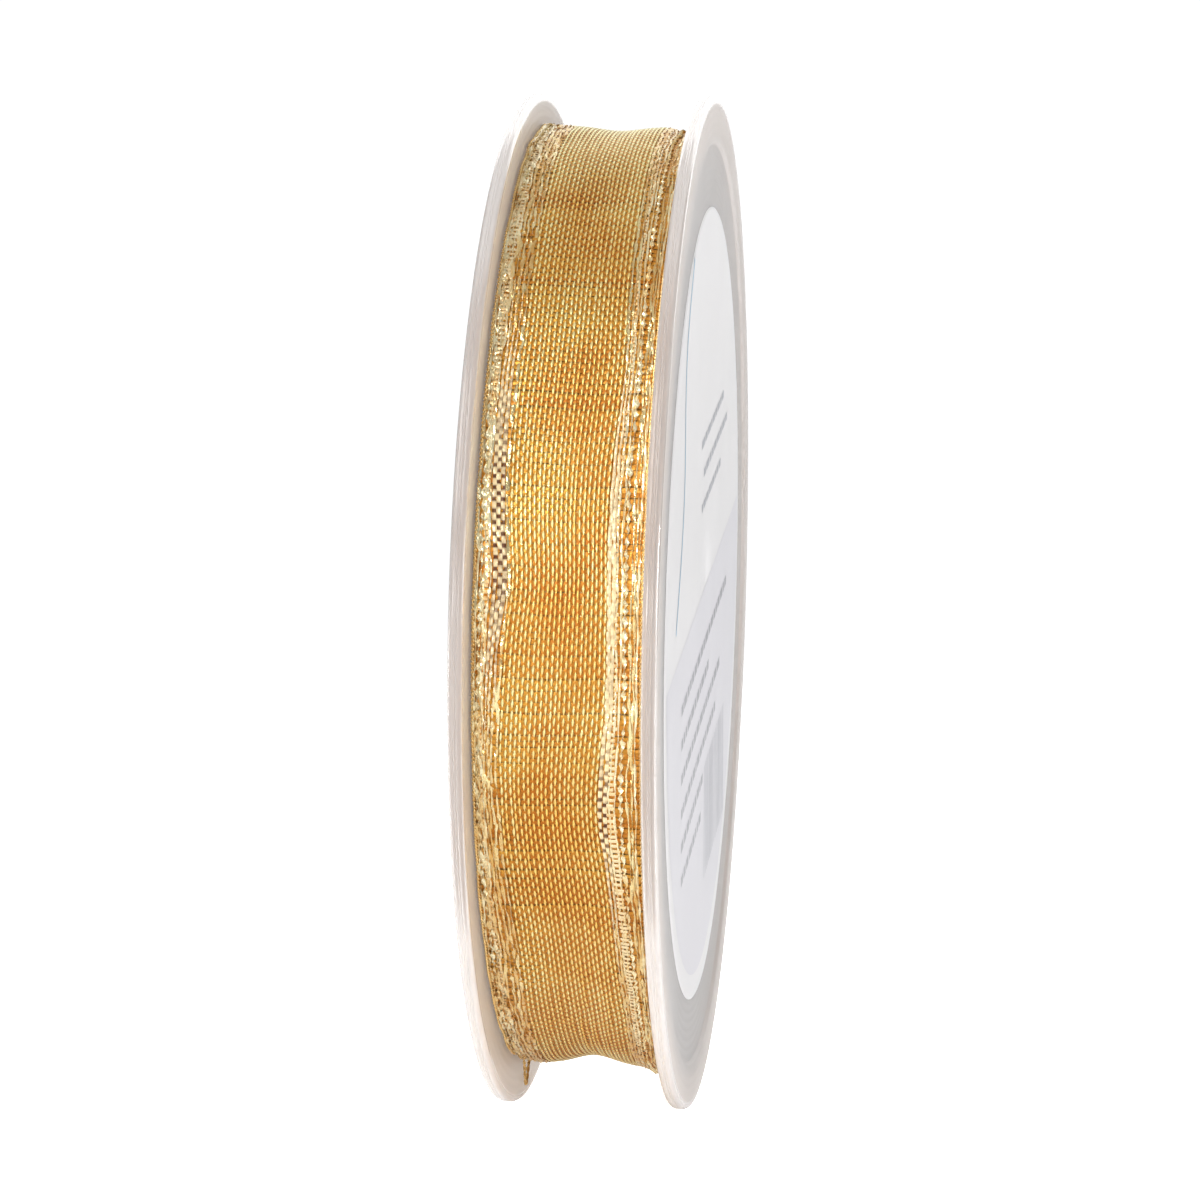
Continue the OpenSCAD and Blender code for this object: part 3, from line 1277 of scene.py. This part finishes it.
@dataclass
class Cloth:
    """One stretch of the ribbon, woven thread by thread.

    Attributes:
        name: Start of its pieces' names.
        start: Angle along the ribbon where it starts, in degrees.
        end: Angle where it ends.
        lay: How the ribbon lies.
        finishes: The spool's materials.
        lift: How far it stands over the turn under it.
        seed: What its random numbers start from.
        wefts_in_turn: Wefts in a full turn.
        warps: Warps between the selvedges.
        warp_pitch: Distance between warps.
        warp: Half width and half height of a warp.
        weft: Half width and half height of a weft.
        rung: Half width and half height of a pale cross thread.
        bead: Half width and half height of a column of beads.
        yarn_height: Half height of a selvedge's yarn.
        rise: How far a thread rises and falls as it crosses others.
        loose: Where the left wired edge hangs off the roll in a small loop.
    """

    name: str
    start: float
    end: float
    lay: Lay
    finishes: Finishes
    lift: float = 0.0
    seed: int = 1
    wefts_in_turn: int = 560
    warps: int = 22
    warp_pitch: float = 0.41
    warp: HalfSizes = (0.15, 0.06)
    weft: HalfSizes = (0.235, 0.035)
    rung: HalfSizes = (0.165, 0.04)
    bead: HalfSizes = (0.19, 0.05)
    yarn_height: float = 0.05
    rise: float = 0.055
    loose: Spot = Spot(358, 1.7, 2.9)

    def angles(self, per_weft: int) -> np.ndarray:
        """Angles of the steps along the stretch, in radians, with so many for each weft."""
        count = round((self.end - self.start) / 360.0 * self.wefts_in_turn) * per_weft
        return np.radians(self.start) + TURN / self.wefts_in_turn / per_weft * np.arange(count + 1)

    def raised(self, angle: np.ndarray) -> np.ndarray:
        """Extra height of this stretch, which eases off to nothing at its inner end."""
        root = math.radians(self.end)
        return self.lift * (1.0 - smooth_step(angle, root - 0.22, root))

    def warp_places(self) -> np.ndarray:
        """Places of the warps across the ribbon."""
        return (np.arange(self.warps) - (self.warps - 1) / 2) * self.warp_pitch

    def warp_piece(self) -> Object:
        """Builds the warps: each rises and swells as cos(pi (weft number + warp number)).

        Each also sways a little at random, and is paler where it sways to the right. Its crests get a
        painted highlight and its dips under the wefts get painted shade.

        Returns:
            The warps as one piece.
        """
        angle = self.angles(2)
        number = np.arange(self.warps)[:, None]
        wave = np.cos(math.pi * (np.arange(len(angle))[None, :] / 2 + number))
        rng = np.random.default_rng(self.seed * 10 + 25)
        sway = np.stack([random_wave(rng, len(angle), 14) for _ in range(self.warps)])
        s = self.warp_places()[:, None] + 0.03 * sway
        height = 0.02 + self.rise * wave + self.raised(angle)[None, :]
        centres = self.lay.place(angle[None, :], s, height)
        across, out, _ = (np.broadcast_to(v, centres.shape) for v in self.lay.axes(angle))
        swell = (0.80 + 0.35 * wave)[..., None]
        # the 0.2 * wave term is a painted highlight on each crest and painted shade where the warp dips
        tone = self.lay.tone(angle[None, :], s) + 0.2 * wave + 0.12 * sway
        shell = strands(centres, across * swell, out, *self.warp, tone=tone)
        return self.part("warps", shell, [self.finishes.warp], Slot.ORGANZA)

    def weft_piece(self, parity: int) -> Object:
        """Builds every other weft.

        A weft falls where a warp rises, and is wide enough to reach its neighbours. Each slips a little
        at random along the ribbon, and all bow gently as sin(s / 2 + 3 angle).

        Args:
            parity: 0 for the even wefts and 1 for the odd ones.

        Returns:
            The wefts as one piece.
        """
        angle = self.angles(1)
        numbers = np.arange(len(angle))[parity::2]
        inner = self.warp_places()
        mids = (inner[1:] + inner[:-1]) / 2
        body = np.sort(np.concatenate([inner, mids]))
        edge = np.array([4.50, 4.70, 4.90, 5.15, 5.40, 5.62, 5.84, 6.05, 6.34, 6.62, 7.00, 7.42])
        s = np.concatenate([-edge[::-1], body, edge])
        warp_number = np.interp(s, inner, np.arange(self.warps), left=-1, right=self.warps)
        wave = -np.cos(math.pi * (warp_number[None, :] + numbers[:, None]))
        outside = smooth_step(np.abs(s), 4.4, 4.7)[None, :]
        ripple = np.cos(math.pi * (np.abs(s)[None, :] / 0.34 + numbers[:, None]))
        height = 0.8 * self.rise * ((1 - outside) * wave + outside * ripple) - 0.02
        rng = np.random.default_rng(self.seed * 10 + 30 + parity)
        slip = rng.standard_normal((len(numbers), 1))
        bow = np.sin(0.5 * s[None, :] + 3.0 * angle[numbers][:, None])
        turned = angle[numbers][:, None] + (0.07 * slip + 0.25 * bow) * TURN / self.wefts_in_turn
        centres = self.lay.place(turned, s[None, :], height + self.raised(turned))
        _, out, along = self.lay.axes(turned)
        tone = self.lay.tone(turned, s[None, :]) + 0.15 * slip
        shell = strands(centres, -along, out, *self.weft, tone=tone)
        name = f"wefts_{('even', 'odd')[parity]}"
        return self.part(name, shell, [self.finishes.weft], Slot.ORGANZA, smooth=False)

    def rung_shell(self, side: Side) -> Shell:
        """The pale threads that cross a selvedge with every weft, bowed up in their middle.

        Args:
            side: Which selvedge.

        Returns:
            The threads.
        """
        low, high = SELVEDGES[side].rungs
        rng = np.random.default_rng(self.seed * 10 + 5 + side.value)
        angle = self.angles(1)
        share = np.linspace(0.0, 1.0, 6)
        longest = SELVEDGES[side].longest.value(angle)
        reach = (high - low) * (0.4 + longest)[:, None] * rng.uniform(0.75, 1.0, (len(angle), 1))
        s = side.value * (low + reach * share[None, :] + 0.05 * rng.standard_normal((len(angle), 1)))
        bow = 0.02 + 0.05 * np.sin(math.pi * share)[None, :] * rng.uniform(0.3, 1.6, (len(angle), 1))
        slip = 0.12 * rng.standard_normal((len(angle), 1)) * TURN / self.wefts_in_turn
        turned = np.broadcast_to(angle[:, None] + slip, s.shape)
        centres = self.lay.place(turned, s, bow + self.raised(turned))
        _, out, along = self.lay.axes(turned)
        tone = 0.3 + longest[:, None] + 0.25 * rng.standard_normal((len(angle), 1))
        return strands(centres, -along * side.value, out, *self.rung, tone=tone)

    def eyelet_shells(self, side: Side) -> list[Shell]:
        """The cream columns beside the organza, each with a bead over every other weft.

        The beads of neighbouring columns are staggered. Where the weave is open, the low places between
        beads are painted near black, as painted shade in the eyelets.

        Args:
            side: Which selvedge.

        Returns:
            One strand for each column.
        """
        rng = np.random.default_rng(self.seed * 10 + 15 + side.value)
        angle = self.angles(4)
        across, out, _ = (v[None] for v in self.lay.axes(angle))
        shells = []
        for number, place in enumerate(SELVEDGES[side].eyelets):
            wave = np.cos(math.pi * (np.arange(len(angle)) / 4 + number))
            bead = smooth_step(wave, -0.45, 0.15)
            s = side.value * (place + 0.03 * random_wave(rng, len(angle), 14))
            centres = self.lay.place(angle, s, 0.06 + 0.05 * wave + self.raised(angle))[None]
            # painted shade: between beads the tone sinks towards the near-black second colour where the
            # eyelets are open
            low = 0.72 - 0.75 * SELVEDGES[side].painted_eyelet_shade.value(angle)
            tone = bead * (0.95 + 0.2 * random_wave(rng, len(angle), 8)) + (1 - bead) * low
            twist = 0.3 * random_wave(rng, len(angle), 8)[None]
            width = np.clip(SELVEDGES[side].beaded.value(angle), 0.05, 1.0)[None, :, None]
            shells.append(strands(centres, across * width, out * width, *self.bead, twist, tone))
        return shells

    def selvedge_piece(self, side: Side) -> Object:
        """Builds a selvedge: its flat lengthwise yarns, its cross threads and its bead columns.

        Each yarn is twisted a little at random so that it glints, and sinks where beads cover it.

        Args:
            side: Which selvedge.

        Returns:
            The threads as one piece.
        """
        rng = np.random.default_rng(self.seed * 10 + side.value)
        angle = self.angles(2)
        across, out, _ = (v[None] for v in self.lay.axes(angle))
        edge = SELVEDGES[side]
        steady_pitch, beside, deepest = 1.05, 0.2, 0.22
        beaded = np.clip(edge.beaded.value(angle), 0.0, 1.0)
        shells = []
        for number, yarn in enumerate(edge.yarns):
            s = side.value * (yarn.place + 0.05 * random_wave(rng, len(angle), 7))
            wave = np.cos(math.pi * (np.arange(len(angle)) / 4 + 0.7 * number))
            under = edge.eyelets[0] - beside < yarn.place < edge.eyelets[-1] + beside
            lift = self.rise * wave + 0.04 - deepest * under * beaded + self.raised(angle)
            twist = yarn.glint * random_wave(rng, len(angle), 4)[None]
            if yarn.spin is Spin.STEADY:
                twist = twist + angle * self.lay.outer * math.pi / steady_pitch
            swell = np.clip(1.0 + 0.25 * random_wave(rng, len(angle), 3), 0.5, 1.5)[None, :, None]
            tone = 0.40 + 0.3 * random_wave(rng, len(angle), 10) + edge.bright.value(angle)
            centres = self.lay.place(angle, s, lift)[None]
            size = (yarn.half_width, self.yarn_height)
            shell = strands(centres, across * swell, out, *size, twist, tone)
            shells.append(self.dyed(shell, yarn.thread))
        shells.append(self.dyed(self.rung_shell(side), Thread.CREAM))
        shells += [self.dyed(column, Thread.BEAD) for column in self.eyelet_shells(side)]
        name = f"{side.name.lower()}_selvedge_yarns"
        return self.part(name, joined(shells), self.finishes.threads, Slot.SELVEDGE, smooth=False)

    def dyed(self, shell: Shell, thread: Thread) -> Shell:
        """The shell with all its faces in one thread's material."""
        return replace(shell, slots=np.full(len(shell.quads), thread.value))

    def cord_piece(self, side: Side) -> Object:
        """Builds a selvedge's wired edge: two thin plies twisted round each other.

        Each ply runs at centre + c (cos q, sin q) with q = 2 pi v / pitch, where v is the length along.

        Args:
            side: Which edge.

        Returns:
            The cord.
        """
        place, coil, ply, pitch = 7.46, 0.08, 0.10, 0.8
        angle = self.angles(4)
        across, out, _ = (v[None] for v in self.lay.axes(angle))
        shells = []
        for start in (0.0, math.pi):
            q = angle * self.lay.outer * TURN / pitch * side.value + start
            s = side.value * place + coil * np.cos(q)
            loose = self.loose.value(angle) * (side is Side.LEFT)
            lift = 0.02 + coil * np.sin(q) + loose + self.raised(angle)
            centres = self.lay.place(angle, s, lift)[None]
            shells.append(strands(centres, across, out, ply, ply))
        name = f"{side.name.lower()}_edge_cord"
        return self.part(name, joined(shells), [self.finishes.wire], Slot.WIRE)

    def part(self, ending: str, shell: Shell, materials: list[Material], slot: Slot,
             smooth: bool = True) -> Object:
        """Makes one of the stretch's pieces.

        Args:
            ending: End of the piece's name.
            shell: Its surface.
            materials: Its materials.
            slot: Not used.
            smooth: Whether its faces are shaded smoothly.

        Returns:
            The piece.
        """
        made = piece(f"{self.name}_{ending}", shell, materials, smooth)
        return made

    def weave(self) -> list[Object]:
        """Builds every piece of the stretch.

        Returns:
            The warps, both sets of wefts, both selvedges and both cords.
        """
        made = [self.warp_piece(), self.weft_piece(0), self.weft_piece(1)]
        made += [self.selvedge_piece(side) for side in Side]
        made += [self.cord_piece(side) for side in Side]
        return made

    @property
    def flat(self) -> tuple[float, float]:
        """The stretch's width and length when flat, in metres."""
        return self.lay.width * MM, math.radians(self.end - self.start) * self.lay.outer * MM


@dataclass
class Roll:
    """The turns under the outermost one, as one long sheet from end to end, with its wired edges.

    Attributes:
        lay: How the ribbon lies.
        finishes: The spool's materials.
        steps: Points in a turn.
        body: Half the organza's width.
    """

    lay: Lay
    finishes: Finishes
    steps: int = 96
    body: float = 4.5

    def angles(self) -> np.ndarray:
        """Finds the steps from the second turn to the innermost.

        Returns:
            Their angles, in radians.
        """
        turns = self.lay.turns - 1.0
        start = math.radians(self.lay.root) + TURN
        return start + np.linspace(0.0, TURN * turns, round(turns * self.steps) + 1)

    def band(self, name: str, low: float, high: float, columns: int, material: Material,
             slot: Slot) -> Object:
        """Builds a band of the spiral sheet.

        Args:
            name: The piece's name.
            low: The band's left edge across the ribbon.
            high: Its right edge.
            columns: Points across it.
            material: Its finish.
            slot: Not used.

        Returns:
            The band, whose pattern coordinates are millimetres across and along. Its faces look
            towards the spin axis.
        """
        angle = self.angles()[:, None]
        s = np.linspace(low, high, columns)[None, :]
        points = self.lay.place(angle, s)
        turn = angle - angle[0]
        along = turn * self.lay.outer - self.lay.layer * turn**2 / (2 * TURN)
        slant = s * (0.10 * np.sin(2.3 * angle + 0.5) + 0.05 * np.sin(7.1 * angle))
        uv = np.stack([s + 0.2 * np.sin(3.7 * angle), along + slant], axis=-1).reshape(-1, 2)
        quads = grid_quads(len(angle), columns)[:, ::-1]
        made = piece(name, Shell(points.reshape(-1, 3), quads, uv), [material])
        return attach(made, "spool")

    def wire(self, side: Side) -> Object:
        """Builds an edge's wire as a thin spiral tube that wavers at random.

        Args:
            side: Which edge.

        Returns:
            The wire.
        """
        angle = self.angles()
        half_width, half_height = 0.12, 0.10
        waver = 0.06 * random_wave(np.random.default_rng(7 + side.value), len(angle), 12)
        centres = self.lay.place(angle, side.value * (self.lay.width / 2 - half_width) + waver)[None]
        across, out, _ = (v[None] for v in self.lay.axes(angle))
        shell = strands(centres, across, out, half_width, half_height)
        made = piece(f"roll_{side.name.lower()}_edge_wire", shell, [self.finishes.wire])
        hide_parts(f"{side.name.lower()}_edge_wire_pack")
        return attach(made, "spool")

    def build(self) -> None:
        half = self.lay.width / 2 - 0.1
        organza = self.band("roll_organza", -self.body, self.body, 5, self.finishes.organza,
                            Slot.ORGANZA)
        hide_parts("organza_pack")
        going = []
        for side in Side:
            low, high = sorted((side.value * self.body, side.value * half))
            name = side.name.lower()
            edge = self.band(f"roll_{name}_selvedge", low, high, 3, self.finishes.band, Slot.SELVEDGE)
            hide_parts(f"{name}_selvedge_pack")
            going += [edge, self.wire(side)]


@dataclass
class Wrap:
    """The outermost turn of the roll, woven thread by thread.

    Attributes:
        lay: How the ribbon lies.
        finishes: The spool's materials.
    """

    lay: Lay
    finishes: Finishes

    def build(self) -> None:
        cloth = Cloth("wrap", self.lay.root, self.lay.root + 360.0, self.lay, self.finishes)
        made = cloth.weave()
        for part in made:
            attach(part, "spool")
        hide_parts("organza_wrap")
        for part, node in zip(made[3:], ("left_selvedge_wrap", "right_selvedge_wrap",
                                         "left_edge_wire_wrap", "right_edge_wire_wrap")):
            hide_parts(node)


@dataclass
class Tail:
    """The ribbon's free end, which lifts off the roll, and the clear tape that holds it down.

    Attributes:
        lay: How the ribbon lies.
        finishes: The spool's materials.
        lift: How far the cloth stands over the turn under it.
        bend_start: Angle where the cloth starts to lift, in degrees.
        bend_end: Angle past which it is all lifted.
        tape: Angles where the tape starts and ends, in degrees.
        corner: Radius of the tape's corners across it.
        film: Half the tape's thickness.
    """

    lay: Lay
    finishes: Finishes
    lift: float = 0.16
    bend_start: float = 172.0
    bend_end: float = 148.0
    tape: tuple[float, float] = (124.0, 137.0)
    corner: float = 1.2
    film: float = 0.03

    def build(self) -> None:
        """Weaves the tail, bakes its pieces in place, and adds its tape."""
        cloth = Cloth("tail", self.lay.free_end, self.lay.root, self.lay, self.finishes, self.lift,
                      seed=2)
        made = cloth.weave()
        ends = [Vector(self.lay.place(np.radians(a), np.array(0.0)) * MM)
                for a in (self.bend_start, self.bend_end)]
        for part in made:
            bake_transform(part)
        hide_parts("tail_organza")
        for part, node in zip(made[3:], ("tail_left_selvedge", "tail_right_selvedge",
                                         "tail_left_edge_wire", "tail_right_edge_wire")):
            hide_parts(node)
        self.tape_piece()

    def tape_piece(self) -> Object:
        """Builds the clear tape over the tail's cut end, with rounded corners and a real thickness.

        Its half width falls by c (1 - sqrt(1 - t^2)) with t from 0 to 1 over each corner, and it steps
        up on to the tail as 3t^2 - 2t^3.

        Returns:
            The tape, with its faces wound inwards.
        """
        low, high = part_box("tail_tape")
        half = (high.x - low.x) / MM / 2
        rows, columns = 27, 13
        angle = np.radians(np.linspace(*self.tape, rows))[:, None]
        v = np.linspace(-1.0, 1.0, rows)[:, None]
        over = np.clip((np.abs(v) - 0.8) / 0.2, 0.0, 1.0)
        width = half - self.corner * (1.0 - np.sqrt(1.0 - over**2))
        s = np.linspace(-1.0, 1.0, columns)[None, :] * width
        lift = 0.26 + 0.10 * smooth_step(angle, math.radians(128.0), math.radians(131.0))
        top = self.lay.place(angle, s, lift + self.film).reshape(-1, 3)
        under = self.lay.place(angle, s, lift - self.film).reshape(-1, 3)
        sheet = grid_quads(rows, columns)
        rim = np.concatenate([np.arange(columns), np.arange(1, rows) * columns + columns - 1,
                              (rows - 1) * columns + np.arange(columns - 2, -1, -1),
                              np.arange(rows - 2, 0, -1) * columns])
        following = np.roll(rim, -1)
        count = rows * columns
        edge = np.stack([rim, following, following + count, rim + count], axis=1)
        quads = np.concatenate([sheet[:, ::-1], sheet + count, edge])
        shell = Shell(np.concatenate([top, under]), quads)
        made = piece("tail_tape_film", shell, [self.finishes.film])
        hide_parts("tail_tape")
        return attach(made, "tail")


# ---------------------------------------------------------------- the studio


@dataclass
class Studio:
    """A pale floor under soft light, and the camera.

    Attributes:
        azimuth: Camera azimuth in degrees.
        roll: Camera roll in degrees.
        distance: Distance from the reel's centre to the camera's plane, in millimetres.
        shift: How far the camera stands to its own right and up, in millimetres.
        lens: Focal length for a 36 mm sensor.
    """

    azimuth: float = 6.57
    roll: float = 1.70
    distance: float = 377.9
    shift: tuple[float, float] = (-1.604, 0.053)
    lens: float = 113.52

    def camera(self) -> None:
        """Sets the camera up, level, turned by the azimuth and tilted by the roll."""
        a, r = math.radians(self.azimuth), math.radians(self.roll)
        back = Vector((math.sin(a), -math.cos(a), 0.0))
        level, up = Vector((math.cos(a), math.sin(a), 0.0)), Vector((0.0, 0.0, 1.0))
        right = level * math.cos(r) + up * math.sin(r)
        top = up * math.cos(r) - level * math.sin(r)
        data = bpy.data.cameras.new("camera")
        data.lens, data.sensor_width = self.lens, 36.0
        data.clip_start, data.clip_end = 0.01, 20.0
        made = bpy.data.objects.new("camera", data)
        bpy.context.scene.collection.objects.link(made)
        place = back * self.distance + right * self.shift[0] + top * self.shift[1]
        turn = Matrix((right, top, back)).transposed()
        made.matrix_world = Matrix.Translation(place * MM) @ turn.to_4x4()
        bpy.context.scene.camera = made

    def light(self, name: str, place: tuple[float, float, float], size: tuple[float, float],
              power: float) -> None:
        """Adds a soft rectangular lamp that faces the reel's centre.

        Args:
            name: Its name.
            place: Where it stands, in metres.
            size: Its width and height, in metres.
            power: Its power, in watts.
        """
        data = bpy.data.lights.new(name, "AREA")
        data.shape, data.energy = "RECTANGLE", power
        data.size, data.size_y = size
        made = bpy.data.objects.new(name, data)
        bpy.context.scene.collection.objects.link(made)
        made.location = place
        made.rotation_euler = (-Vector(place)).to_track_quat("-Z", "Y").to_euler()

    def world(self, seen: float, lighting: float) -> None:
        """Adds a white surround.

        Args:
            seen: How bright it looks to the camera.
            lighting: How much light it gives.
        """
        world = bpy.data.worlds.new("surround")
        bpy.context.scene.world = world
        world.use_nodes = True
        graph = Graph(world.node_tree)
        to_camera = graph.add("LightPath").outputs["Is Camera Ray"]
        strength = graph.spread(to_camera, 0.0, 1.0, lighting, seen)
        ground = world.node_tree.nodes["Background"]
        ground.inputs["Color"].default_value = (1.0, 1.0, 1.0, 1.0)
        graph.link(strength, ground, "Strength")

    def floor(self) -> None:
        """Lays the pale floor under the rims."""
        level = CAD_BOX[0].z / MM
        side = 3000.0
        points = np.array([(-side, -side, level), (side, -side, level), (side, side, level),
                           (-side, side, level)])
        floor = Paper("floor", (0.93, 0.93, 0.93), (0.91, 0.91, 0.91), 0.6).make()
        graph = Graph(floor.node_tree)
        shader = floor.node_tree.nodes["Principled BSDF"]
        shader.inputs["Emission Color"].default_value = solid((1.0, 1.0, 1.0))
        seen = graph.add("LightPath").outputs["Is Camera Ray"]
        graph.link(graph.spread(seen, 0.0, 1.0, 0.34, 0.9), shader, "Emission Strength")
        piece("floor", Shell(points, np.array([[0, 1, 2, 3]])), [floor])

    def build(self) -> None:
        """Sets up the camera, the lights and the floor."""
        self.camera()
        self.light("key", (-0.35, -0.75, 0.50), (0.8, 0.5), 6.0)
        self.light("front", (-0.20, -0.83, -0.005), (0.05, 0.09), 1.5)
        self.light("right", (0.9, -0.25, 0.05), (0.6, 0.18), 2.3)
        self.light("top", (0.0, 0.1, 1.4), (2.0, 2.0), 3.8)
        self.light("back", (0.0, 1.3, 0.75), (1.8, 1.4), 8.0)
        self.world(1.05, 0.27)
        self.floor()
        bpy.context.scene.view_settings.view_transform = "Standard"


def main() -> None:
    """Builds the studio, the reel, its label and the ribbon in order."""
    logging.basicConfig(level=logging.INFO, format="%(name)s %(message)s")
    finishes = Finishes()
    Studio().build()
    lay = Lay()
    log.info("%.1f turns, a layer every %.3f mm", lay.turns, lay.layer)
    reel, ribbon = (Reel(finishes), Label(finishes)), (Roll, Wrap, Tail)
    for assembly in reel + tuple(stretch(lay, finishes) for stretch in ribbon):
        assembly.build()
        log.info("%s: built", type(assembly).__name__)


if __name__ == "__main__":
    main()
